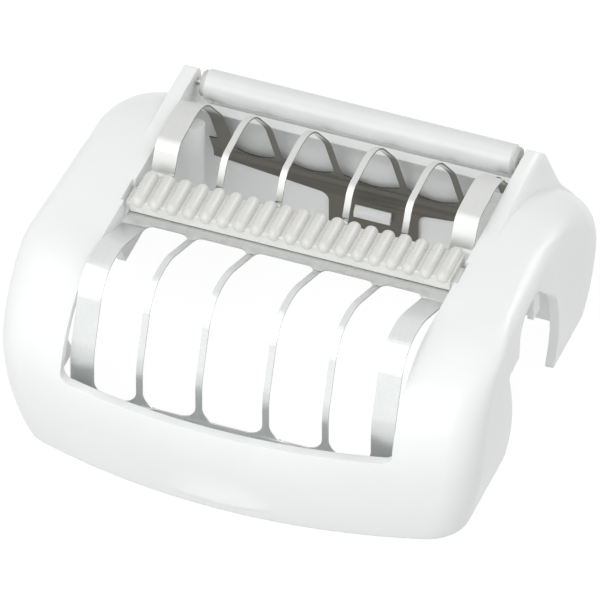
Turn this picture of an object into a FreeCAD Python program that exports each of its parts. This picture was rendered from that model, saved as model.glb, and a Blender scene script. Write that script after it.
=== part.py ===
"""Clip-on guard head: moulded frame, spring-steel band cage, floating ribbed bar and free roller.

Millimetres. X is across the head, Y runs from front to rear, Z is up. The origin is the middle of the
bottom rim. Distances called "from front" are measured back from the frame's foremost point.
"""
import FreeCAD, Part
import math
import os

from FreeCAD import Vector

# Frame: outer form
width = 64.0
depth = 57.2
top_z = 25.6
wall = 1.25
rear_taper = 1.0
side_tuck = 2.7
side_tuck_z = 16.0
apron_tuck = 2.05
nose_z = 12.5
bow_radius = 88.0
front_corner = 5.5
rear_corner = 5.5
side_round = 2.2
rear_fall_run = 22.0
rear_fall_height = 15.0

# Frame: window, inner walls and shoulders
window_width = 44.0
window_corner = 1.2
rim_z = 13.9
rear_wall_top = 17.6
rear_ledge_z = 14.8
rear_ledge = 0.25
return_wall = 1.2
return_z = 22.4
shoulder_round = 1.9
shoulder_top_width = 2.0
shoulder_edge = 1.5
shoulder_slope_run = 1.6
shoulder_foot_z = 20.0
shoulder_foot_run = 1.7
shoulder_foot_fall = 2.0
shoulder_hollow = 2.4
shoulder_lead = 3.8
shoulder_lead_bend = 6.0
shoulder_back = 0.9
shoulder_back_bend = 1.4
shoulder_tail = 2.7
shoulder_tail_z = 19.6
shoulder_tail_bend = 1.6
shoulder_end = 2.0
shoulder_end_z = 15.6

# Frame: side notch, arch ribs, clip ramps and thumb lip
notch_from_front = 23.6
notch_length = 18.2
notch_front_lean = 5.2
notch_step_z = 18.6
notch_step = 3.9
notch_top_z = 23.7
notch_brow = 4.4
notch_crown_run = 6.6
notch_hip_lead = 4.9
notch_hip_z = 16.4
notch_throat = 0.6
notch_crown_bend = 2.6
notch_hip_bend = 3.4
catch_from_front = 31.6
catch_length = 2.2
catch_foot_z = 17.6
catch_thickness = 0.8
arch_rib = 3.2
arch_rib_reach = 18.0
arch_rib_foot_z = 8.0
arch_rib_headroom = 1.3
arch_rib_lead = 1.8
ramp_length = 4.0
ramp_front = 13.5
ramp_rear = 9.5
ramp_height = 2.4
ramp_proud = 0.6
ramp_z = 3.6
lip_z = 2.4
lip_proud = 0.7
lip_rise = 4.0
lip_under = 0.6
lip_root = 0.25
lip_radius = 28.0
lip_sweep = 34.0

# Roller
roller_diameter = 3.95
roller_length = 42.4
roller_from_rear = 6.35
roller_z = 24.4
roller_chamfer = 0.25
roller_bore = 2.0
bush_flange = 0.5
bush_length = 4.0
bush_flange_diameter = 3.4
bush_chamfer = 0.15
axle_diameter = 1.0
axle_grip = 1.5

# Ribbed bar
bar_from_front = 25.0
bar_depth = 6.25
bar_length = 42.8
bar_top_z = 26.4
bar_base = 1.9
rib_count = 19
rib_pitch = 2.25
rib_width = 1.85
rib_nose = 1.3
rib_heel = 0.9
rib_edge = 0.9
rib_overhang = 0.45
tab_depth = 3.6
tab_length = 0.4
tab_height = 1.2
bar_travel = 1.2

# Band cage
steel = 0.2
trough_z = 23.5
narrow_band = 0.85
wide_band = 3.1
wide_band_gap = 0.5
narrow_inner_x = 4.44
narrow_outer_x = 12.34
leg_from_front = 5.35
foot_z = 8.6
foot_depth = 2.4
foot_width = 27.0
foot_bend = 0.7
leg_top_z = 17.0
leg_bend = 9.0
front_crown_z = 27.2
brow_run = 3.55
brow_fall = 0.6
brow_bend = 4.5
crown_run = 9.15
crown_rise = 0.1
crown_bend = 10.0
trough_lead = 0.8
trough_bend = 1.0
rear_crown_z = 27.7
rear_rise_lead = 0.9
rear_rise_run = 2.0
rear_rise_fall = 0.3
rear_rise_bend = 2.0
rear_crown_share = 0.45
rear_crown_rise = 0.2
rear_crown_bend_share = 0.5
rear_fall_lead = 0.25
rear_fall_drop = 4.6
rear_fall_bend = 12.0
plate_bend = 6.0
cross_band = 8.3
slot_corner = 1.1
leg_flare = 2.0
front_band_top = 10.9
plate_valley_z = 10.0
plate_valley_rise = 1.5
plate_valley_bend = 4.4
plate_corner = 1.3
plate_edge_z = 6.9
plate_edge_rise = 1.7
plate_edge_bend = 1.3
plate_half = 21.4
rear_leg = 1.9
rear_leg_step_z = 13.0
rear_leg_step_bend = 0.5
tongue_width = 12.0
tongue_foot_z = 1.5
tongue_slot_width = 5.1
tongue_slot_height = 1.7
tongue_slot_z = 5.4

# Rivet pegs, keeper and clamp
bar_peg = 1.3
bar_peg_count = 4
bar_peg_pitch = 10.6
keeper_depth = 4.2
keeper_thickness = 0.9
keeper_end = 2.0
strip_corner = 1.0
hook_reach = 0.6
clamp_peg = 1.2
clamp_peg_count = 3
clamp_peg_pitch = 8.6
clamp_thickness = 1.2
clamp_lip = 0.8
shelf_thickness = 1.15
rivet_head = 0.7
rivet_head_height = 0.5

# Clearances
seat_gap = 0.05
peg_gap = 0.1
running_gap = 0.03
grip_gap = 0.02
slide_gap = 0.3
plate_gap = 0.45

# Derived places
half_width = width / 2
shoulder_z = top_z - side_round
window_half = window_width / 2
front_y = -depth / 2
rear_y = depth / 2
axis_y = rear_y - roller_from_rear
bar_y0 = front_y + bar_from_front
bar_y1 = bar_y0 + bar_depth
bar_mid_y = (bar_y0 + bar_y1) / 2
bar_foot_z = trough_z + steel / 2 + seat_gap
leg_y = front_y + leg_from_front
plate_y = rear_y - wall - plate_gap - steel / 2
wide_outer_x = window_half - wide_band_gap
wide_inner_x = wide_outer_x - wide_band
arch_rib_y = (bar_y1 + axis_y) / 2 + arch_rib_lead
far = 200.0
past = 1.0


def at_x(x):
    """Place a (y, z) sketch point on the plane at x."""
    return lambda a, b: Vector(x, a, b)


def at_y(y):
    """Place an (x, z) sketch point on the plane at y."""
    return lambda a, b: Vector(a, y, b)


def at_z(z):
    """Place an (x, y) sketch point on the plane at z."""
    return lambda a, b: Vector(a, b, z)


def rounded_edges(corners, place, closed=False):
    """Straight runs and tangent arcs through corners given as (a, b, radius)."""
    count = len(corners)
    starts, ends, arcs = [], [], []
    for i, (a, b, radius) in enumerate(corners):
        here = Vector(a, b, 0)
        if not closed and i in (0, count - 1) or radius == 0:
            starts.append(here)
            ends.append(here)
            arcs.append(None)
            continue
        before = (Vector(*corners[i - 1][:2], 0) - here).normalize()
        after = (Vector(*corners[(i + 1) % count][:2], 0) - here).normalize()
        half = before.getAngle(after) / 2
        run = radius / math.tan(half)
        middle = (before + after).normalize() * (radius / math.sin(half) - radius)
        starts.append(here + before * run)
        ends.append(here + after * run)
        arcs.append(here + middle)
    edges = []
    for i in range(count):
        if arcs[i] is not None:
            points = [place(p.x, p.y) for p in (starts[i], arcs[i], ends[i])]
            edges.append(Part.Arc(*points).toShape())
        if i < count - 1 or closed:
            p, q = ends[i], starts[(i + 1) % count]
            if p.distanceToPoint(q) > 1e-6:
                edges.append(Part.makeLine(place(p.x, p.y), place(q.x, q.y)))
    return edges


def prism(corners, place, sweep):
    """Solid swept from a closed outline with rounded corners."""
    face = Part.Face(Part.Wire(rounded_edges(corners, place, closed=True)))
    return face.extrude(sweep)


def offset_corners(corners, distance):
    """Corners of the path that runs at a distance to the left of the given one."""
    points = [Vector(a, b, 0) for a, b, _ in corners]
    runs = [(q - p).normalize() for p, q in zip(points, points[1:])]
    lefts = [Vector(-run.y, run.x, 0) for run in runs]
    moved = [points[0] + lefts[0] * distance]
    for i in range(1, len(points) - 1):
        turn = runs[i - 1].getAngle(runs[i])
        middle = (lefts[i - 1] + lefts[i]).normalize()
        moved.append(points[i] + middle * (distance / math.cos(turn / 2)))
    moved.append(points[-1] + lefts[-1] * distance)
    result = []
    for i, (_, _, radius) in enumerate(corners):
        sign = 0
        if 0 < i < len(points) - 1:
            sign = 1 if runs[i - 1].cross(runs[i]).z > 0 else -1
        result.append((moved[i].x, moved[i].y, radius - sign * distance if radius else 0))
    return result


def box(x0, x1, y0, y1, z0, z1):
    """Axis-aligned block between two corners."""
    return Part.makeBox(x1 - x0, y1 - y0, z1 - z0, Vector(x0, y0, z0))


def rod(diameter, start, end):
    """Cylinder between two points."""
    run = end - start
    return Part.makeCylinder(diameter / 2, run.Length, start, run)


def both_sides(shape):
    """The shape and its mirror image across the middle plane, as a list."""
    return [shape, shape.mirror(Vector(0, 0, 0), Vector(1, 0, 0))]


def spread(count, pitch):
    """Evenly spaced places about zero."""
    return [(i - (count - 1) / 2) * pitch for i in range(count)]


def drop(radius, rise):
    """How far a quarter round of this radius falls back at a given rise."""
    return math.sqrt(max(radius * radius - rise * rise, 0.0))


def half_width_at(z, inset, taper=0.0):
    """Half width of the frame at a height, walls tucked in below and rounded above."""
    widest = half_width - taper
    if z > shoulder_z:
        return widest - side_round + drop(side_round - inset, z - shoulder_z)
    tuck = max(1 - z / side_tuck_z, 0.0)
    return widest - inset - (side_tuck - taper) * min(tuck, 1.0) ** 2


def front_at(z, inset):
    """Middle of the front face at a height: tucked apron below, big round nose above."""
    nose_radius = top_z - nose_z
    if z > nose_z:
        return front_y + nose_radius - drop(nose_radius - inset, z - nose_z)
    return front_y + inset + apron_tuck * min(1 - z / nose_z, 1.0) ** 2


def rear_at(z, inset):
    """Rear face at a height: upright wall below, long fall from the flat top above."""
    rise = (z - (top_z - rear_fall_height)) / (rear_fall_height - inset)
    if rise < 0:
        return rear_y - inset
    return rear_y - rear_fall_run + (rear_fall_run - inset) * drop(1.0, rise)


def frame_outline(z, inset):
    """Closed plan outline of the frame at a height, set in from the outer face."""
    side = half_width_at(z, inset)
    side_rear = half_width_at(z, inset, rear_taper)
    front = front_at(z, inset)
    rear = rear_at(z, inset)
    bow_y = front_y + bow_radius
    bow = bow_y - front
    round_front = front_corner - inset
    round_rear = rear_corner - inset
    corner = Vector(side - round_front, 0, z)
    corner.y = bow_y - math.sqrt((bow - round_front) ** 2 - corner.x ** 2)
    centre = Vector(0, bow_y, z)
    reach = (corner - centre).normalize()
    on_bow = centre + reach * bow
    bisector = (reach + Vector(1, 0, 0)).normalize()
    mid_corner = corner + bisector * round_front
    on_side = Vector(side, corner.y, z)
    side_end = Vector(side_rear, rear - round_rear, z)
    rear_centre = Vector(side_rear - round_rear, rear - round_rear, z)
    mid_rear = rear_centre + Vector(1, 1, 0).normalize() * round_rear
    rear_end = Vector(side_rear - round_rear, rear, z)

    def other(p):
        return Vector(-p.x, p.y, p.z)

    return Part.Wire([
        Part.Arc(other(on_bow), Vector(0, front, z), on_bow).toShape(),
        Part.Arc(on_bow, mid_corner, on_side).toShape(),
        Part.makeLine(on_side, side_end),
        Part.Arc(side_end, mid_rear, rear_end).toShape(),
        Part.makeLine(rear_end, other(rear_end)),
        Part.Arc(other(rear_end), other(mid_rear), other(side_end)).toShape(),
        Part.makeLine(other(side_end), other(on_side)),
        Part.Arc(other(on_side), other(mid_corner), other(on_bow)).toShape(),
    ])


def frame_block(inset, foot_z=0.0):
    """Closed form of the frame, lofted through plan outlines from the rim to the flat top."""
    levels = [nose_z * part for part in (0.0, 0.25, 0.5, 0.75, 1.0)]
    levels += [nose_z + (shoulder_z - nose_z) * part for part in (0.25, 0.48, 0.69, 0.87, 1.0)]
    for angle in (20, 40, 58, 74, 90):
        levels.append(shoulder_z + (side_round - inset) * math.sin(math.radians(angle)))
    if foot_z < 0:
        levels[0] = foot_z
    return Part.makeLoft([frame_outline(z, inset) for z in levels], True, False)


def shoulder():
    """Right-hand wedge that carries the roller's pin, level on top and sloping to the side."""
    crest = roller_z + shoulder_round
    inner, outer = window_half, window_half + shoulder_top_width
    foot = outer + shoulder_slope_run
    side = foot + shoulder_foot_run
    across = prism([
        (inner, rim_z, 0), (inner, crest, 0), (outer, crest, shoulder_edge),
        (foot, shoulder_foot_z, shoulder_hollow),
        (side, shoulder_foot_z - shoulder_foot_fall, 0), (side, rim_z, 0),
    ], at_y(-far / 2), Vector(0, far, 0))
    start = rear_y - rear_fall_run
    end = rear_y - shoulder_end
    along = prism([
        (start, rim_z, 0), (start, top_z, 0), (axis_y - shoulder_lead, crest, shoulder_lead_bend),
        (axis_y + shoulder_back, crest, shoulder_back_bend),
        (axis_y + shoulder_tail, shoulder_tail_z, shoulder_tail_bend),
        (end, shoulder_end_z, 0), (end, rim_z, 0),
    ], at_x(0), Vector(far, 0, 0))
    return across.common(along)


def rear_panel():
    """Upright wall between the shoulders, behind the roller, with a ledge across its inner face."""
    half = window_half + return_wall
    foot = top_z - rear_fall_height - wall
    panel = box(-half, half, rear_y - wall, rear_y, foot, rear_wall_top)
    return panel.cut(box(-window_half, window_half, rear_y - wall - past, rear_y - wall + rear_ledge,
                         rear_ledge_z, far))


def side_notch():
    """Arched cut through both side walls, with a stepped front edge and a leaning rear edge."""
    start = front_y + notch_from_front
    end = start + notch_length
    upper = start - notch_front_lean
    brow = upper + notch_brow
    crown = brow + notch_crown_run
    inner = window_half + return_wall + past
    cutter = prism([
        (start, -past, 0), (upper, notch_step_z, notch_throat), (upper + notch_step, notch_step_z, 0),
        (brow, notch_top_z, notch_crown_bend), (crown, notch_top_z, notch_crown_bend),
        (end - notch_hip_lead, notch_hip_z, notch_hip_bend), (end, -past, 0),
    ], at_x(inner), Vector(far, 0, 0))
    return both_sides(cutter)


def thumb_lip():
    """Almond-shaped lip low on the apron, curved more tightly than the apron it stands on."""
    top, low = lip_z + lip_rise, lip_z - lip_under
    corners = [(front_at(low, lip_root), low), (front_at(low, 0), low), (front_at(lip_z, -lip_proud), lip_z),
               (front_at(top, 0), top), (front_at(top, lip_root), top)]
    points = [Vector(0, y, z) for y, z in corners]
    section = Part.Face(Part.makePolygon(points + points[:1]))
    pivot, upright = Vector(0, front_y + lip_radius, 0), Vector(0, 0, 1)
    section.rotate(pivot, upright, -lip_sweep / 2)
    return section.revolve(pivot, upright, lip_sweep)


def window_cutter():
    """Opening of the window, down to the front rim and to the rear wall's top."""
    front = prism([
        (-window_half, rim_z, window_corner), (window_half, rim_z, window_corner),
        (window_half, far, 0), (-window_half, far, 0),
    ], at_y(front_y - past), Vector(0, bar_y1 - front_y, 0))
    rear = box(-window_half, window_half, bar_mid_y, rear_y + past, rear_wall_top, far)
    return front.fuse(rear)


def clamp_shelf(outer):
    """Shelf behind the apron with riveted pegs for the cage's front foot."""
    under = foot_z + steel / 2 + seat_gap
    reach = leg_y - steel / 2 - seat_gap
    block = prism([
        (front_y, under, 0), (reach - foot_bend, under, 0), (reach, under + foot_bend, 0),
        (reach, under + shelf_thickness, 0), (front_y, under + shelf_thickness, 0),
    ], at_x(-foot_width / 2), Vector(foot_width, 0, 0))
    peg_y = leg_y - foot_depth / 2
    end_z = foot_z - steel / 2 - 2 * seat_gap - clamp_thickness
    shelf = block.common(outer)
    for x in spread(clamp_peg_count, clamp_peg_pitch):
        foot = Vector(x, peg_y, end_z - rivet_head_height)
        shelf = shelf.fuse(rod(clamp_peg, foot, Vector(x, peg_y, under)))
        shelf = shelf.fuse(rod(clamp_peg + rivet_head, foot, Vector(x, peg_y, end_z)))
    return shelf


def rear_hook():
    """Catch on the rear wall that the tongue's slot drops over."""
    half = tongue_slot_width / 2 - peg_gap
    tall = tongue_slot_height / 2 - peg_gap
    tip = plate_y - steel / 2 - hook_reach
    return prism([
        (rear_y - wall / 2, tongue_slot_z + tall, 0), (rear_y - wall / 2, tongue_slot_z - tall, 0),
        (tip, tongue_slot_z - tall, 0), (tip, tongue_slot_z, 0),
        (plate_y - steel / 2, tongue_slot_z + tall, 0),
    ], at_x(-half), Vector(2 * half, 0, 0))


def clip_ramp(y):
    """Right-hand ramp inside the side wall that snaps onto the appliance."""
    face = half_width_at(ramp_z, wall)
    return prism([
        (face + wall / 2, ramp_z - ramp_height / 2, 0), (face + wall / 2, ramp_z + ramp_height / 2, 0),
        (face, ramp_z + ramp_height / 2, 0), (face - ramp_proud, ramp_z, ramp_proud / 2),
        (face, ramp_z - ramp_height / 2, 0),
    ], at_y(y - ramp_length / 2), Vector(0, ramp_length, 0))


def arch_support():
    """Right-hand rib from the side wall to under the wide band, rounded at its inner end."""
    y0, y1 = arch_rib_y - arch_rib / 2, arch_rib_y + arch_rib / 2
    top = front_crown_z - arch_rib_headroom
    wall_x = half_width_at(arch_rib_foot_z, wall / 2, rear_taper)
    return prism([
        (arch_rib_reach, y0, arch_rib / 2 - grip_gap), (wall_x, y0, 0),
        (wall_x, y1, 0), (arch_rib_reach, y1, arch_rib / 2 - grip_gap),
    ], at_z(arch_rib_foot_z), Vector(0, 0, top - arch_rib_foot_z))


def snap_catch():
    """Right-hand tab that hangs in the top of the side notch, on the wall's inner half."""
    middle = front_y + catch_from_front
    face = half_width_at(notch_hip_z, wall, rear_taper)
    return box(face, face + catch_thickness, middle - catch_length / 2, middle + catch_length / 2,
               catch_foot_z, shoulder_z)


def frame_shell():
    """Moulded frame with its window, walls, shoulders and inner ribs."""
    outer = frame_block(0)
    inner = frame_block(wall, -past)
    body = outer.fuse(both_sides(shoulder())).cut(inner).fuse(rear_panel()).cut(window_cutter())
    returns = box(window_half, window_half + return_wall, front_y, rear_y, return_z, far).common(outer)
    ramps = [clip_ramp(y) for y in (front_y + ramp_front, rear_y - ramp_rear)]
    for piece in (returns, arch_support().common(outer), *ramps):
        body = body.fuse(both_sides(piece))
    body = body.fuse([clamp_shelf(outer), rear_hook(), thumb_lip()])
    body = body.cut(side_notch())
    body = body.fuse(both_sides(snap_catch()))
    grip = window_half + axle_grip
    tab_y0 = bar_y0 + rib_overhang
    pocket = box(window_half - past, window_half + tab_length, tab_y0 - slide_gap,
                 tab_y0 + tab_depth + slide_gap, bar_foot_z - bar_travel - slide_gap, far)
    pin_hole = rod(axle_diameter + 2 * grip_gap, Vector(-grip, axis_y, roller_z),
                   Vector(grip, axis_y, roller_z))
    return body.cut([pin_hole, *both_sides(pocket)]).removeSplitter()


def cage_path():
    """Side view of the sheet's middle line, from the front foot to the rear tongue, as (y, z, radius)."""
    rise_y = bar_mid_y + cross_band / 2 + rear_rise_lead
    rear_span = axis_y - rise_y - rear_rise_run
    return [
        (leg_y - foot_depth, foot_z, 0),
        (leg_y, foot_z, foot_bend),
        (leg_y, leg_top_z, leg_bend),
        (leg_y + brow_run, front_crown_z - brow_fall, brow_bend),
        (leg_y + crown_run, front_crown_z + crown_rise, crown_bend),
        (bar_mid_y - cross_band / 2 - trough_lead, trough_z, trough_bend),
        (rise_y, trough_z, trough_bend),
        (rise_y + rear_rise_run, rear_crown_z - rear_rise_fall, rear_rise_bend),
        (axis_y - rear_crown_share * rear_span, rear_crown_z + rear_crown_rise,
         rear_crown_bend_share * rear_span),
        (axis_y - rear_fall_lead, roller_z - rear_fall_drop, rear_fall_bend),
        (plate_y, plate_valley_z - rear_leg_step_bend, plate_bend),
        (plate_y, tongue_foot_z, 0),
    ]


def band_edges():
    """Gaps between neighbouring bands, as (left, right) in x."""
    lows = [-wide_outer_x, -narrow_outer_x - narrow_band / 2, -narrow_inner_x - narrow_band / 2]
    highs = [-wide_inner_x, -narrow_outer_x + narrow_band / 2, -narrow_inner_x + narrow_band / 2]
    starts = highs + [-low for low in reversed(lows)]
    ends = lows + [-high for high in reversed(highs)]
    return list(zip(starts[:-1], ends[1:]))


def band_gap(left, right):
    """Cutter for one gap of the cage: front slot and rear tear-shaped hole."""
    front_end = bar_mid_y - cross_band / 2
    rear_start = bar_mid_y + cross_band / 2
    crown_y = (rear_start + axis_y) / 2
    front_top = prism([
        (left, front_y, 0), (right, front_y, 0), (right, front_end, slot_corner),
        (left, front_end, slot_corner),
    ], at_z(leg_top_z - past), Vector(0, 0, far))
    front_leg = prism([
        (left, front_band_top, leg_flare), (right, front_band_top, leg_flare),
        (right, leg_top_z, 0), (left, leg_top_z, 0),
    ], at_y(front_y), Vector(0, 2 * leg_from_front, 0))
    rear_top = prism([
        (left, rear_start, slot_corner), (right, rear_start, slot_corner),
        (right, crown_y, 0), (left, crown_y, 0),
    ], at_z(trough_z - past), Vector(0, 0, far))
    middle = (left + right) / 2
    valley_side = plate_valley_z + plate_valley_rise
    rear_leg_gap = prism([
        (left, valley_side, plate_corner), (middle, plate_valley_z, plate_valley_bend),
        (right, valley_side, plate_corner), (right, far, 0), (left, far, 0),
    ], at_y(crown_y - past / 2), Vector(0, far, 0))
    return front_top.fuse([front_leg, rear_top, rear_leg_gap])


def band_cage():
    """Spring-steel stamping: a formed sheet with its gaps, foot, plate and tongue cut out."""
    path = cage_path()
    left = rounded_edges(offset_corners(path, steel / 2), at_x(-wide_outer_x))
    right = rounded_edges(offset_corners(path, -steel / 2), at_x(-wide_outer_x))
    ends = [Part.makeLine(a.valueAt(a.FirstParameter) if first else a.valueAt(a.LastParameter),
                          b.valueAt(b.FirstParameter) if first else b.valueAt(b.LastParameter))
            for a, b, first in ((left[0], right[0], True), (left[-1], right[-1], False))]
    ribbon = Part.Face(Part.Wire(Part.__sortEdges__(left + right + ends)))
    sheet = ribbon.extrude(Vector(2 * wide_outer_x, 0, 0))
    for gap in band_edges():
        sheet = sheet.cut(band_gap(*gap))
    foot_side = box(foot_width / 2, far, front_y, leg_y - steel, foot_z - past, foot_z + foot_bend)
    leg_edge = wide_inner_x + rear_leg
    leg_side = prism([
        (leg_edge, rear_leg_step_z, rear_leg_step_bend), (far, rear_leg_step_z, 0), (far, far, 0),
        (leg_edge, far, 0),
    ], at_y(arch_rib_y + arch_rib / 2), Vector(0, far, 0))
    under_plate = prism([
        (tongue_width / 2, plate_edge_z, plate_edge_bend), (plate_half, plate_edge_z + plate_edge_rise, 0),
        (far, plate_edge_z + plate_edge_rise, 0), (far, -past, 0), (tongue_width / 2, -past, 0),
    ], at_y(axis_y), Vector(0, far, 0))
    for cutter in (foot_side, leg_side, under_plate):
        sheet = sheet.cut(both_sides(cutter))
    slot = box(-tongue_slot_width / 2, tongue_slot_width / 2, axis_y, far,
               tongue_slot_z - tongue_slot_height / 2, tongue_slot_z + tongue_slot_height / 2)
    holes = [slot]
    for x in spread(bar_peg_count, bar_peg_pitch):
        holes.append(rod(bar_peg + 2 * peg_gap, Vector(x, bar_mid_y, trough_z - past),
                         Vector(x, bar_mid_y, trough_z + past)))
    for x in spread(clamp_peg_count, clamp_peg_pitch):
        y = leg_y - foot_depth / 2
        holes.append(rod(clamp_peg + 2 * peg_gap, Vector(x, y, foot_z - past),
                         Vector(x, y, foot_z + past)))
    return sheet.cut(holes)


def bar_rib(x):
    """One rib of the bar, running front to rear with a ball-shaped nose and a round heel."""
    foot = bar_foot_z + bar_base / 2
    side = prism([
        (bar_y0, foot, 0), (bar_y0, bar_top_z, rib_nose),
        (bar_y1, bar_top_z, rib_heel), (bar_y1, foot, 0),
    ], at_x(x - rib_width / 2), Vector(rib_width, 0, 0))
    section = prism([
        (x - rib_width / 2, foot, 0), (x - rib_width / 2, bar_top_z, rib_edge),
        (x + rib_width / 2, bar_top_z, rib_edge), (x + rib_width / 2, foot, 0),
    ], at_y(bar_y0 - past), Vector(0, bar_depth + 2 * past, 0))
    plan = prism([
        (x - rib_width / 2, bar_y0, rib_edge), (x + rib_width / 2, bar_y0, rib_edge),
        (x + rib_width / 2, bar_y1, rib_edge), (x - rib_width / 2, bar_y1, rib_edge),
    ], at_z(foot), Vector(0, 0, bar_top_z - foot))
    return side.common(section).common(plan)


def ribbed_bar():
    """Bar with its row of ribs, end tabs and riveted pegs."""
    half = bar_length / 2
    tab_y0 = bar_y0 + rib_overhang
    base = box(-half, half, tab_y0, bar_y1 - rib_overhang, bar_foot_z, bar_foot_z + bar_base)
    tab = box(half - tab_length, window_half + tab_length - slide_gap, tab_y0, tab_y0 + tab_depth,
              bar_foot_z, bar_foot_z + tab_height)
    parts = [bar_rib(x) for x in spread(rib_count, rib_pitch)] + both_sides(tab)
    end_z = trough_z - steel / 2 - 2 * seat_gap - keeper_thickness
    for x in spread(bar_peg_count, bar_peg_pitch):
        foot = Vector(x, bar_mid_y, end_z - rivet_head_height)
        parts.append(rod(bar_peg, foot, Vector(x, bar_mid_y, bar_foot_z + bar_base / 2)))
        parts.append(rod(bar_peg + rivet_head, foot, Vector(x, bar_mid_y, end_z)))
    return base.fuse(parts).removeSplitter()


def riveted_strip(length, y0, y1, top, thickness, peg, places, peg_y):
    """Flat strip with round ends and a row of peg holes."""
    half = length / 2
    strip = prism([
        (-half, y0, strip_corner), (half, y0, strip_corner), (half, y1, strip_corner),
        (-half, y1, strip_corner),
    ], at_z(top - thickness), Vector(0, 0, thickness))
    for x in places:
        strip = strip.cut(rod(peg + 2 * peg_gap, Vector(x, peg_y, top - thickness - past),
                              Vector(x, peg_y, top + past)))
    return strip


def bar_keeper():
    """Strip under the cross band, riveted to the bar's pegs."""
    length = bar_peg_pitch * (bar_peg_count - 1) + 2 * (bar_peg + keeper_end)
    return riveted_strip(length, bar_mid_y - keeper_depth / 2, bar_mid_y + keeper_depth / 2,
                         trough_z - steel / 2 - seat_gap, keeper_thickness, bar_peg,
                         spread(bar_peg_count, bar_peg_pitch), bar_mid_y)


def front_clamp():
    """Strip under the cage's front foot, riveted to the frame's pegs."""
    peg_y = leg_y - foot_depth / 2
    return riveted_strip(foot_width - strip_corner, leg_y - foot_depth, leg_y + clamp_lip,
                         foot_z - steel / 2 - seat_gap, clamp_thickness, clamp_peg,
                         spread(clamp_peg_count, clamp_peg_pitch), peg_y)


def turned(corners):
    """Solid turned about the roller's axis from (x, radius) corners."""
    points = [Vector(x, axis_y, roller_z + radius) for x, radius in corners]
    section = Part.Face(Part.makePolygon(points + points[:1]))
    return section.revolve(Vector(0, axis_y, roller_z), Vector(1, 0, 0), 360)


def roller_tube():
    """Hollow roller with chamfered ends."""
    half = roller_length / 2 - bush_flange
    bore, radius = roller_bore / 2, roller_diameter / 2
    return turned([
        (-half, bore), (-half, radius - roller_chamfer), (-half + roller_chamfer, radius),
        (half - roller_chamfer, radius), (half, radius - roller_chamfer), (half, bore),
    ])


def roller_bush():
    """Right-hand flanged bush in the end of the roller."""
    face = roller_length / 2
    bore = axle_diameter / 2 + running_gap
    fit = roller_bore / 2 - grip_gap
    flange = bush_flange_diameter / 2
    return turned([
        (face - bush_length, bore), (face - bush_length, fit), (face - bush_flange, fit),
        (face - bush_flange, flange), (face - bush_chamfer, flange), (face, flange - bush_chamfer),
        (face, bore),
    ])


def roller_axle():
    """Steel pin that carries the roller between the shoulders."""
    reach = window_half + axle_grip - seat_gap
    return rod(axle_diameter, Vector(-reach, axis_y, roller_z), Vector(reach, axis_y, roller_z))


def main():
    """Build every piece and write one file for each."""
    os.makedirs("parts", exist_ok=True)
    right_bush, left_bush = both_sides(roller_bush())
    pieces = {
        "frame_shell": frame_shell(),
        "band_cage": band_cage(),
        "ribbed_bar": ribbed_bar(),
        "bar_keeper": bar_keeper(),
        "front_clamp": front_clamp(),
        "roller_tube": roller_tube(),
        "roller_bush_left": left_bush,
        "roller_bush_right": right_bush,
        "roller_axle": roller_axle(),
    }
    for name, shape in pieces.items():
        shape.exportStep(f"parts/{name}.step")
        low, high = shape.BoundBox.ZMin, shape.BoundBox.ZMax
        print(f"{name}: {len(shape.Solids)} solid, volume {shape.Volume:.1f}, valid {shape.isValid()}, "
              f"z {low:.2f} to {high:.2f}")


main()
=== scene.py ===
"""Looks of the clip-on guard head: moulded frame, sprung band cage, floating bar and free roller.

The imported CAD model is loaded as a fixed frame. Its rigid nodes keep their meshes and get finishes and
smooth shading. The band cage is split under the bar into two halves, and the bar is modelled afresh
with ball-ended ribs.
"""
import logging
import math
from dataclasses import dataclass, field
from enum import Enum
from typing import Any

import bpy
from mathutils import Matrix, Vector

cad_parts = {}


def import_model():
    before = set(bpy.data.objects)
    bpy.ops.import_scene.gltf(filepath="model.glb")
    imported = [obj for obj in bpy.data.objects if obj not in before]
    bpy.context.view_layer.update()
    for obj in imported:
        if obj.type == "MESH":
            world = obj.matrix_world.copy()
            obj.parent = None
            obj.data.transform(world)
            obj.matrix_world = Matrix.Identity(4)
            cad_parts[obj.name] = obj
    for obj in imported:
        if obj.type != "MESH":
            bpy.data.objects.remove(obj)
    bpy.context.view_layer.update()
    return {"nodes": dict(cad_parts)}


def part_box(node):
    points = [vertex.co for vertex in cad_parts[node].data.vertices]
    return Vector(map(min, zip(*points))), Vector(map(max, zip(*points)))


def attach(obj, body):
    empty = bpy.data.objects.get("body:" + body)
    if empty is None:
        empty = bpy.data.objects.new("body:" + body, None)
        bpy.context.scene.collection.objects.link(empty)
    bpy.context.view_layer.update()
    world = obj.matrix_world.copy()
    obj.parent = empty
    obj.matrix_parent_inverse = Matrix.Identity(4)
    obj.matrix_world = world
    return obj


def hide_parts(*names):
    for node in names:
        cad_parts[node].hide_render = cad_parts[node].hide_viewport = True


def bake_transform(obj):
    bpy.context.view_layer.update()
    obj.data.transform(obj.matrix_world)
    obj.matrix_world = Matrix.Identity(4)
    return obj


LOG = logging.getLogger("guard_head")
MM = 0.001
MERGE_MM = 0.0005
NOISE_LOW, NOISE_HIGH = 0.3, 0.7


class Body(Enum):
    """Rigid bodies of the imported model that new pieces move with."""

    FRAME = "frame"
    BAR = "bar"


class Slot(Enum):
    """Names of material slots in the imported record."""

    BAND_STEEL = "band_steel"
    BAR_GREY = "bar_grey"


class Axis(Enum):
    """Direction that a drawn or ground surface's lines run in."""

    X = 0
    Y = 1


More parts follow.
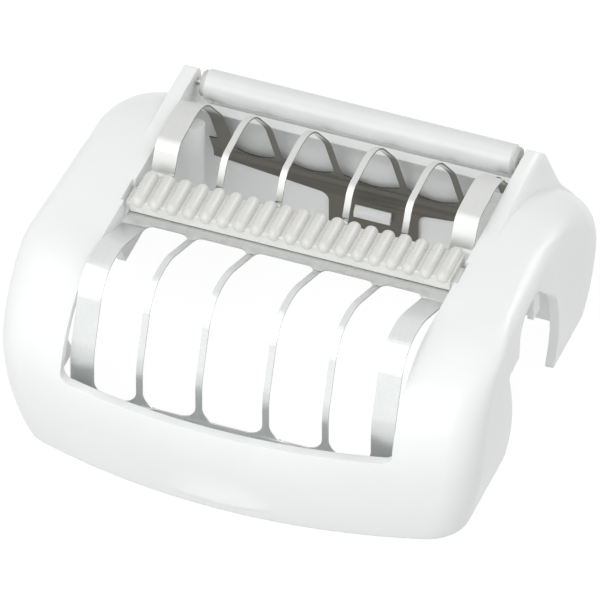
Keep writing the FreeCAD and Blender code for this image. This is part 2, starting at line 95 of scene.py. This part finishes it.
def linear(hex_colour: str) -> tuple[float, float, float, float]:
    """Turn an sRGB hex value into a linear colour.

    Args:
        hex_colour: Six hex digits, with or without a leading hash.

    Returns:
        Linear red, green, blue and an alpha of one.
    """
    digits = hex_colour.lstrip("#")
    parts = [int(digits[i:i + 2], 16) / 255 for i in (0, 2, 4)]
    red, green, blue = (p / 12.92 if p <= 0.04045 else ((p + 0.055) / 1.055) ** 2.4 for p in parts)
    return red, green, blue, 1.0


def add_node(tree: bpy.types.NodeTree, kind: str, settings: dict[str, Any] | None = None,
             inputs: dict[Any, Any] | None = None) -> bpy.types.Node:
    """Add a node with its settings, constants and links.

    Args:
        tree: Node tree that takes the node.
        kind: Node type.
        settings: Attributes to set on the node.
        inputs: Input names or numbers, each with a constant or an output socket to link.

    Returns:
        The new node.
    """
    node = tree.nodes.new(kind)
    for key, value in (settings or {}).items():
        setattr(node, key, value)
    for key, value in (inputs or {}).items():
        if isinstance(value, bpy.types.NodeSocket):
            tree.links.new(value, node.inputs[key])
        else:
            node.inputs[key].default_value = value
    return node


def blank_material(name: str) -> tuple[bpy.types.Material, bpy.types.NodeTree]:
    """Make an empty node material.

    Args:
        name: Name of the finish.

    Returns:
        The material and its cleared node tree.
    """
    material = bpy.data.materials.new(name)
    material.use_nodes = True
    material.node_tree.nodes.clear()
    return material, material.node_tree


@dataclass(frozen=True)
class MouldedPlastic:
    """Injection-moulded plastic whose fine tool grain only varies its gloss."""

    name: str
    colour: str
    shade: str
    roughness: float
    grain_mm: float
    mottle_mm: float
    ior: float = 1.5
    glow: float = 0.0
    glow_mm: float = 1.0
    gloss_span: float = 0.01
    shade_at: float = 0.35
    colour_at: float = 0.65

    def material(self) -> bpy.types.Material:
        """Build the node material.

        Returns:
            The finished material.
        """
        material, tree = blank_material(self.name)
        place = add_node(tree, "ShaderNodeTexCoord").outputs["Object"]
        mottle = add_node(tree, "ShaderNodeTexNoise", {}, {
            "Vector": place, "Scale": 1 / (self.mottle_mm * MM), "Detail": 3.0, "Roughness": 0.55})
        grain = add_node(tree, "ShaderNodeTexNoise", {}, {
            "Vector": place, "Scale": 1 / (self.grain_mm * MM), "Detail": 2.0, "Roughness": 0.5})
        tone = add_node(tree, "ShaderNodeValToRGB", {}, {"Fac": mottle.outputs["Fac"]})
        tone.color_ramp.elements[0].position = self.shade_at
        tone.color_ramp.elements[0].color = linear(self.shade)
        tone.color_ramp.elements[1].position = self.colour_at
        tone.color_ramp.elements[1].color = linear(self.colour)
        gloss = add_node(tree, "ShaderNodeMapRange", {}, {
            "Value": grain.outputs["Fac"], "From Min": NOISE_LOW, "From Max": NOISE_HIGH,
            "To Min": self.roughness - self.gloss_span, "To Max": self.roughness + self.gloss_span})
        shader = add_node(tree, "ShaderNodeBsdfPrincipled", {}, {
            "Base Color": tone.outputs["Color"], "Roughness": gloss.outputs["Result"],
            "IOR": self.ior, "Subsurface Weight": self.glow,
            "Subsurface Radius": (1.0, 1.0, 1.0), "Subsurface Scale": self.glow_mm * MM})
        add_node(tree, "ShaderNodeOutputMaterial", {}, {"Surface": shader.outputs["BSDF"]})
        return material


@dataclass(frozen=True)
class DrawnSteel:
    """Bare steel, rolled or ground, with fine lines along one axis."""

    name: str
    colour: str
    shade: str
    roughness: float
    line_mm: float
    run_mm: float
    along: Axis
    # Painted shade: a darker colour on the sheet's cut edges, which face across the bands
    edge: str | None = None
    # Painted shade: a darker colour towards the rear, between two depths along the piece
    painted_shade: str | None = None
    painted_shade_from_mm: float = 0.0
    painted_shade_to_mm: float = 1.0
    gloss_span: float = 0.03
    line_height_mm: float = 0.001
    line_strength: float = 0.06
    edge_from: float = 0.6
    edge_to: float = 0.9

    def material(self) -> bpy.types.Material:
        """Build the node material.

        Returns:
            The finished material.
        """
        material, tree = blank_material(self.name)
        place = add_node(tree, "ShaderNodeTexCoord").outputs["Object"]
        fine = [1 / (self.line_mm * MM)] * 3
        fine[self.along.value] = 1 / (self.run_mm * MM)
        turned = add_node(tree, "ShaderNodeMapping", {}, {"Vector": place, "Scale": fine})
        lines = add_node(tree, "ShaderNodeTexNoise", {}, {
            "Vector": turned.outputs["Vector"], "Scale": 1.0, "Detail": 3.0, "Roughness": 0.6})
        tone = add_node(tree, "ShaderNodeValToRGB", {}, {"Fac": lines.outputs["Fac"]})
        tone.color_ramp.elements[0].position = NOISE_LOW
        tone.color_ramp.elements[0].color = linear(self.shade)
        tone.color_ramp.elements[1].position = NOISE_HIGH
        tone.color_ramp.elements[1].color = linear(self.colour)
        colour = tone.outputs["Color"]
        # Painted shade, darker towards the rear
        if self.painted_shade is not None:
            colour = self.paint_rear_shade(tree, place, colour)
        # Painted shade on the cut edges
        if self.edge is not None:
            colour = self.paint_edge_shade(tree, colour)
        gloss = add_node(tree, "ShaderNodeMapRange", {}, {
            "Value": lines.outputs["Fac"], "From Min": NOISE_LOW, "From Max": NOISE_HIGH,
            "To Min": self.roughness - self.gloss_span, "To Max": self.roughness + self.gloss_span})
        bump = add_node(tree, "ShaderNodeBump", {}, {
            "Height": lines.outputs["Fac"], "Strength": self.line_strength,
            "Distance": self.line_height_mm * MM})
        shader = add_node(tree, "ShaderNodeBsdfPrincipled", {}, {
            "Base Color": colour, "Metallic": 1.0,
            "Roughness": gloss.outputs["Result"], "Normal": bump.outputs["Normal"]})
        add_node(tree, "ShaderNodeOutputMaterial", {}, {"Surface": shader.outputs["BSDF"]})
        return material

    def paint_edge_shade(self, tree: bpy.types.NodeTree, colour: bpy.types.NodeSocket) -> bpy.types.NodeSocket:
        """Paint shade on the cut edges of the sheet, which face across the bands.

        Args:
            tree: Node tree that takes the nodes.
            colour: Socket with the face's colour.

        Returns:
            Socket with the colour to use.
        """
        facing = add_node(tree, "ShaderNodeTexCoord").outputs["Normal"]
        apart = add_node(tree, "ShaderNodeSeparateXYZ", {}, {"Vector": facing})
        across = add_node(tree, "ShaderNodeMath", {"operation": "ABSOLUTE"}, {0: apart.outputs["X"]})
        share = add_node(tree, "ShaderNodeMapRange", {}, {
            "Value": across.outputs["Value"], "From Min": self.edge_from, "From Max": self.edge_to})
        mix = add_node(tree, "ShaderNodeMix", {"data_type": "RGBA"}, {
            "Factor": share.outputs["Result"], 6: colour, 7: linear(self.edge)})
        return mix.outputs[2]

    def paint_rear_shade(self, tree: bpy.types.NodeTree, place: bpy.types.NodeSocket,
                 colour: bpy.types.NodeSocket) -> bpy.types.NodeSocket:
        """Paint shade on the steel, darker towards its rear.

        Args:
            tree: Node tree that takes the nodes.
            place: Socket with the place on the piece.
            colour: Socket with the bright steel's colour.

        Returns:
            Socket with the colour to use.
        """
        apart = add_node(tree, "ShaderNodeSeparateXYZ", {}, {"Vector": place})
        share = add_node(tree, "ShaderNodeMapRange", {"interpolation_type": "SMOOTHSTEP"}, {
            "Value": apart.outputs["Y"], "From Min": self.painted_shade_from_mm * MM,
            "From Max": self.painted_shade_to_mm * MM, "To Min": 0.0, "To Max": 1.0})
        mix = add_node(tree, "ShaderNodeMix", {"data_type": "RGBA"}, {
            "Factor": share.outputs["Result"], 6: colour, 7: linear(self.painted_shade)})
        return mix.outputs[2]


# Moulded ABS, off white and slightly cool: a dense pale body with a soft, even sheen
FRAME_ABS = MouldedPlastic("abs_cool_white", "#F2F4F3", "#F0F2F1", 0.3, 0.32, 14.0,
                           glow=0.4, glow_mm=1.5)
# Moulded acetal, light warm grey: waxy satin with soft long highlights
BAR_ACETAL = MouldedPlastic("acetal_light_grey", "#DCDCD9", "#D8D8D5", 0.28, 0.4, 6.0)
ROLLER_ACETAL = MouldedPlastic("acetal_roller_grey", "#E2E3E3", "#DEDFDF", 0.24, 0.4, 6.0)
# Filled nylon, mid grey: dull and slightly mottled
BUSH_NYLON = MouldedPlastic("nylon_grey", "#C6C7C5", "#BEBFBD", 0.5, 0.3, 3.0)
# Cold-rolled spring steel: bright, with rolling lines along the bands and painted shade on its cut edges
BAND_STEEL = DrawnSteel("spring_steel_rolled", "#DADCDC", "#D4D6D6", 0.38, 0.2, 14.0, Axis.Y,
                        "#A3A39F")
# The same sheet behind the bar: rougher, in a darker copy as painted shade on the arches, with painted
# shade growing dark towards the rear plate and darker painted shade on its cut edges
PLATE_STEEL = DrawnSteel("spring_steel_painted_shade", "#CDCECC", "#C8C9C7", 0.5, 0.2, 14.0, Axis.Y,
                         "#8C8B86", "#66645D", 18.5, 21.5)
# Ground pin: bright, with a fine even grind
PIN_STEEL = DrawnSteel("steel_ground_pin", "#CDCDCA", "#B4B4B0", 0.28, 0.1, 0.1, Axis.X)


def dress(piece: bpy.types.Object, material: bpy.types.Material) -> None:
    """Give a piece one finish all over.

    Args:
        piece: Mesh to dress.
        material: Finish to use.
    """
    piece.data.materials.clear()
    piece.data.materials.append(material)


def soften(node: bpy.types.Object, angle_deg: float = 32.0, weight: int = 60) -> None:
    """Weld a CAD node's loose triangles and shade its curves smoothly.

    Args:
        node: CAD node, whose own vertices stay as they are.
        angle_deg: Angle above which an edge stays sharp.
        weight: How much large faces lead the shading.
    """
    for face in node.data.polygons:
        face.use_smooth = True
    weld = node.modifiers.new("weld", "WELD")
    weld.merge_threshold = MERGE_MM * MM
    split = node.modifiers.new("split", "EDGE_SPLIT")
    split.split_angle = math.radians(angle_deg)
    split.use_edge_sharp = False
    even = node.modifiers.new("even", "WEIGHTED_NORMAL")
    even.mode = "FACE_AREA"
    even.weight = weight


@dataclass
class MouldedFrame:
    """Frame shell and the strip that clamps the cage's foot inside it."""

    nodes: tuple[str, ...] = ("frame_shell", "front_clamp")

    def dress(self, cad: dict[str, bpy.types.Object]) -> None:
        """Finish the frame's nodes.

        Args:
            cad: CAD nodes by name.
        """
        white = FRAME_ABS.material()
        for name in self.nodes:
            soften(cad[name])
            dress(cad[name], white)
            LOG.info("dressed %s", name)


@dataclass
class BandCage:
    """Spring-steel cage, in two halves that meet under the bar."""

    leg_y_mm: float = -22.5
    cross_front_y_mm: float = -4.6
    middle_y_mm: float = -0.475
    cross_rear_y_mm: float = 3.7
    plate_y_mm: float = 23.5
    smooth_deg: float = 30.0
    halves: list[bpy.types.Object] = field(default_factory=list)

    def half(self, source: bpy.types.Object, name: str, keep: Vector) -> bpy.types.Object:
        """Copy the cage and keep the part on one side of its middle.

        Args:
            source: CAD node of the cage.
            name: Name of the new piece.
            keep: Direction of the side to keep.

        Returns:
            The new half, merged and closed at the cut.
        """
        piece = bpy.data.objects.new(name, source.data.copy())
        bpy.context.scene.collection.objects.link(piece)
        bpy.ops.object.select_all(action="DESELECT")
        bpy.context.view_layer.objects.active = piece
        piece.select_set(True)
        bpy.ops.object.mode_set(mode="EDIT")
        bpy.ops.mesh.select_all(action="SELECT")
        bpy.ops.mesh.remove_doubles(threshold=MERGE_MM * MM)
        bpy.ops.mesh.bisect(plane_co=(0, self.middle_y_mm * MM, 0), plane_no=-keep, use_fill=True,
                            clear_outer=True)
        bpy.ops.object.mode_set(mode="OBJECT")
        bpy.ops.object.shade_smooth_by_angle(angle=math.radians(self.smooth_deg))
        return piece

    def build(self, cad: dict[str, bpy.types.Object]) -> None:
        """Make both halves and hide the CAD cage.

        Args:
            cad: CAD nodes by name.
        """
        source = cad["band_cage"]
        front = self.half(source, "cage_front", Vector((0, -1, 0)))
        rear = self.half(source, "cage_rear", Vector((0, 1, 0)))
        spans = ((front, self.leg_y_mm, self.cross_front_y_mm),
                 (rear, self.plate_y_mm, self.cross_rear_y_mm))
        for piece, held, carried in spans:
            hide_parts("band_cage")
            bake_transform(piece)
            self.halves.append(piece)
            LOG.info("built %s", piece.name)

    def dress(self) -> None:
        """Finish the front half in bright steel and the rear half in a darker copy with painted shade."""
        for piece, steel in zip(self.halves, (BAND_STEEL, PLATE_STEEL)):
            dress(piece, steel.material())


@dataclass
class FloatingBar:
    """Ribbed bar with ball-ended ribs, and the keeper riveted under it."""

    rib_count: int = 19
    rib_pitch_mm: float = 2.25
    rib_width_mm: float = 1.85
    overhang_mm: float = 0.45
    length_mm: float = 42.8
    seat_z_mm: float = 23.65
    base_mm: float = 1.9
    base_edge_mm: float = 0.25
    tab_depth_mm: float = 3.6
    tab_height_mm: float = 1.2
    peg_count: int = 4
    peg_pitch_mm: float = 10.6
    peg_mm: float = 1.3
    head_mm: float = 2.0
    head_height_mm: float = 0.5
    round_steps: int = 32
    ball_rings: int = 15
    edge_steps: int = 3
    smooth_deg: float = 35.0
    keeper: str = "bar_keeper"
    pieces: list[bpy.types.Object] = field(default_factory=list)

    def rib(self, x: float, y0: float, y1: float, top: float) -> None:
        """Make one rib as a ball drawn out from front to rear.

        Args:
            x: Middle of the rib in metres.
            y0: Front end in metres.
            y1: Rear end in metres.
            top: Height of its crest in metres.
        """
        radius = self.rib_width_mm * MM / 2
        stretch = (y1 - y0) / 2 - radius
        bpy.ops.mesh.primitive_uv_sphere_add(segments=self.round_steps, ring_count=self.ball_rings,
                                             radius=radius)
        ball = bpy.context.active_object
        for vertex in ball.data.vertices:
            vertex.co.z += math.copysign(stretch, vertex.co.z)
        ball.rotation_euler = (math.pi / 2, 0, 0)
        ball.location = (x, (y0 + y1) / 2, top - radius)
        bpy.ops.object.shade_smooth()
        self.pieces.append(ball)

    def block(self, low: Vector, high: Vector) -> None:
        """Make a block with broken edges.

        Args:
            low: Lowest corner in metres.
            high: Highest corner in metres.
        """
        bpy.ops.mesh.primitive_cube_add(size=1, location=(low + high) / 2, scale=high - low)
        block = bpy.context.active_object
        bpy.ops.object.transform_apply(location=False, rotation=False, scale=True)
        edge = block.modifiers.new("edge", "BEVEL")
        edge.width, edge.segments = self.base_edge_mm * MM, self.edge_steps
        bpy.ops.object.modifier_apply(modifier=edge.name)
        bpy.ops.object.shade_smooth_by_angle(angle=math.radians(self.smooth_deg))
        self.pieces.append(block)

    def peg(self, x: float, y: float, foot: float) -> None:
        """Make one peg and its riveted head.

        Args:
            x: Middle of the peg in metres.
            y: Middle of the peg in metres.
            foot: Height of the head's lower face in metres.
        """
        head = foot + self.head_height_mm * MM
        seat = self.seat_z_mm * MM
        for size, low, high in ((self.head_mm, foot, head), (self.peg_mm, head, seat)):
            bpy.ops.mesh.primitive_cylinder_add(vertices=self.round_steps, radius=size * MM / 2,
                                                depth=high - low, location=(x, y, (low + high) / 2))
            bpy.ops.object.shade_smooth_by_angle(angle=math.radians(self.smooth_deg))
            self.pieces.append(bpy.context.active_object)

    def build(self, cad: dict[str, bpy.types.Object]) -> None:
        """Make the bar in the CAD bar's box, as one piece that moves with it.

        Args:
            cad: CAD nodes by name.
        """
        low, high = (Vector(corner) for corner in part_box("ribbed_bar"))
        seat, top = self.seat_z_mm * MM, (self.seat_z_mm + self.base_mm) * MM
        front, rear = low.y + self.overhang_mm * MM, high.y - self.overhang_mm * MM
        half = self.length_mm * MM / 2
        self.block(Vector((-half, front, seat)), Vector((half, rear, top)))
        inside = self.base_edge_mm * MM
        tab_rear, tab_top = front + self.tab_depth_mm * MM, seat + self.tab_height_mm * MM
        self.block(Vector((low.x, front + inside, seat + inside)), Vector((high.x, tab_rear, tab_top)))
        for number in range(self.rib_count):
            x = (number - (self.rib_count - 1) / 2) * self.rib_pitch_mm * MM
            self.rib(x, low.y, high.y, high.z)
        for number in range(self.peg_count):
            x = (number - (self.peg_count - 1) / 2) * self.peg_pitch_mm * MM
            self.peg(x, (low.y + high.y) / 2, low.z)
        bpy.ops.object.select_all(action="DESELECT")
        for piece in self.pieces:
            piece.select_set(True)
        bpy.context.view_layer.objects.active = self.pieces[0]
        bpy.ops.object.join()
        bpy.ops.object.transform_apply(location=True, rotation=True, scale=True)
        bar = bpy.context.active_object
        bar.name = "bar_body"
        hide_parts("ribbed_bar")
        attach(bar, Body.BAR.value)
        self.pieces = [bar, cad[self.keeper]]
        LOG.info("built %s with %d ribs", bar.name, self.rib_count)

    def dress(self) -> None:
        """Finish the bar and its keeper."""
        grey = BAR_ACETAL.material()
        soften(self.pieces[1])
        for piece in self.pieces:
            dress(piece, grey)


@dataclass
class FreeRoller:
    """Roller tube, its two bushes and the pin that they run on."""

    bushes: tuple[str, ...] = ("roller_bush_left", "roller_bush_right")

    def dress(self, cad: dict[str, bpy.types.Object]) -> None:
        """Finish the roller's nodes.

        Args:
            cad: CAD nodes by name.
        """
        finishes = {"roller_tube": ROLLER_ACETAL.material(), "roller_axle": PIN_STEEL.material()}
        finishes.update(dict.fromkeys(self.bushes, BUSH_NYLON.material()))
        for name, material in finishes.items():
            soften(cad[name])
            dress(cad[name], material)
            LOG.info("dressed %s", name)


@dataclass(frozen=True)
class SoftLamp:
    """Square soft lamp that faces the object: place and side in metres, power in watts."""

    name: str
    place: tuple[float, float, float]
    size: float
    power: float

    def hang(self) -> None:
        """Hang the lamp in the scene."""
        data = bpy.data.lights.new(self.name, "AREA")
        data.size, data.energy = self.size, self.power
        lamp = bpy.data.objects.new(self.name, data)
        lamp.location = self.place
        lamp.rotation_euler = (-Vector(self.place)).to_track_quat("-Z", "Y").to_euler()
        bpy.context.scene.collection.objects.link(lamp)


@dataclass
class Studio:
    """White table, soft lamps and a long lens at the photograph's angle."""

    azimuth_deg: float = 20.7
    elevation_deg: float = 41.5
    target_mm: tuple[float, float, float] = (0.0, 0.55, 12.5)
    lens_mm: float = 1200.0
    distance_m: float = 2.5
    sensor_mm: float = 36.0
    clip_m: tuple[float, float] = (0.1, 20.0)
    floor_m: float = 3.0
    floor_drop_mm: float = 0.2
    floor_grey: float = 0.25
    floor_glow: float = 0.25
    seen_grey: float = 0.12
    seen_glow: float = 0.93
    horizon: float = 1.08
    zenith: float = 0.12
    lamps: tuple[SoftLamp, ...] = (
        SoftLamp("key_left", (-0.3, -0.1, 0.6), 0.4, 0.75),
        SoftLamp("front_fill", (0.0, -0.6, 0.42), 0.6, 3.0),
        SoftLamp("rim_right", (0.24, 0.55, 0.5), 0.35, 1.35))

    def camera(self) -> None:
        """Place the camera."""
        a, e = math.radians(self.azimuth_deg), math.radians(self.elevation_deg)
        back = Vector((math.sin(a) * math.cos(e), -math.cos(a) * math.cos(e), math.sin(e)))
        data = bpy.data.cameras.new("camera")
        data.lens, data.sensor_width = self.lens_mm, self.sensor_mm
        data.clip_start, data.clip_end = self.clip_m
        camera = bpy.data.objects.new("camera", data)
        camera.location = Vector(self.target_mm) * MM + back * self.distance_m
        camera.rotation_euler = (-back).to_track_quat("-Z", "Y").to_euler()
        bpy.context.scene.collection.objects.link(camera)
        bpy.context.scene.camera = camera

    def seen(self, tree: bpy.types.NodeTree) -> bpy.types.NodeSocket:
        """Say whether a ray comes from the camera, a mirror or glass.

        Args:
            tree: Node tree that takes the nodes.

        Returns:
            Socket that is one for such rays.
        """
        rays = add_node(tree, "ShaderNodeLightPath")
        shine = add_node(tree, "ShaderNodeMath", {"operation": "MAXIMUM"}, {
            0: rays.outputs["Is Glossy Ray"], 1: rays.outputs["Is Transmission Ray"]})
        return add_node(tree, "ShaderNodeMath", {"operation": "MAXIMUM"}, {
            0: rays.outputs["Is Camera Ray"], 1: shine.outputs["Value"]}).outputs["Value"]

    def world(self) -> None:
        """Light the scene from a sky that is palest at the horizon and that the camera sees as white."""
        world = bpy.data.worlds.new("sky")
        world.use_nodes = True
        tree = world.node_tree
        tree.nodes.clear()
        way = add_node(tree, "ShaderNodeTexCoord").outputs["Generated"]
        apart = add_node(tree, "ShaderNodeSeparateXYZ", {}, {"Vector": way})
        level = add_node(tree, "ShaderNodeMapRange", {}, {
            "Value": apart.outputs["Z"], "To Min": self.horizon, "To Max": self.zenith})
        dim = add_node(tree, "ShaderNodeBackground", {}, {
            "Color": linear("#FFFFFF"), "Strength": level.outputs["Result"]})
        white = add_node(tree, "ShaderNodeBackground", {}, {"Color": linear("#FFFFFF"), "Strength": 1.0})
        mix = add_node(tree, "ShaderNodeMixShader", {}, {
            0: self.seen(tree), 1: dim.outputs["Background"], 2: white.outputs["Background"]})
        add_node(tree, "ShaderNodeOutputWorld", {}, {"Surface": mix.outputs["Shader"]})
        bpy.context.scene.world = world

    def surface(self, tree: bpy.types.NodeTree, grey: float, glow: float) -> bpy.types.NodeSocket:
        """Make a matt surface that also gives off an even white light.

        Args:
            tree: Node tree that takes the nodes.
            grey: Linear grey of the matt surface, which takes the shadow.
            glow: Strength of the light.

        Returns:
            Socket with the shader.
        """
        matt = add_node(tree, "ShaderNodeBsdfDiffuse", {}, {"Color": (grey, grey, grey, 1.0)})
        even = add_node(tree, "ShaderNodeEmission", {}, {"Color": linear("#FFFFFF"), "Strength": glow})
        both = add_node(tree, "ShaderNodeAddShader", {}, {
            0: matt.outputs["BSDF"], 1: even.outputs["Emission"]})
        return both.outputs["Shader"]

    def floor(self) -> None:
        """Lay a light table under the object, lit from below, that keeps a faint shadow."""
        bpy.ops.object.select_all(action="DESELECT")
        bpy.ops.mesh.primitive_plane_add(size=self.floor_m, location=(0, 0, -self.floor_drop_mm * MM))
        plane = bpy.context.active_object
        plane.name = "table"
        material, tree = blank_material("table_white")
        plain = self.surface(tree, self.floor_grey, self.floor_glow)
        lit = self.surface(tree, self.seen_grey, self.seen_glow)
        mix = add_node(tree, "ShaderNodeMixShader", {}, {
            0: self.seen(tree), 1: plain, 2: lit})
        add_node(tree, "ShaderNodeOutputMaterial", {}, {"Surface": mix.outputs["Shader"]})
        dress(plane, material)

    def build(self) -> None:
        """Set up the whole studio."""
        bpy.context.scene.view_settings.view_transform = "Standard"
        self.camera()
        self.world()
        self.floor()
        for lamp in self.lamps:
            lamp.hang()
        LOG.info("studio ready")


def main() -> None:
    """Load the frame, build and dress each sub-assembly, and set up the studio."""
    logging.basicConfig(level=logging.INFO, format="%(name)s: %(message)s")
    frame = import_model()
    nodes = frame["nodes"]
    MouldedFrame().dress(nodes)
    cage = BandCage()
    cage.build(nodes)
    cage.dress()
    bar = FloatingBar()
    bar.build(nodes)
    bar.dress()
    FreeRoller().dress(nodes)
    Studio().build()
    LOG.info("sizes written")


if __name__ == "__main__":
    main()
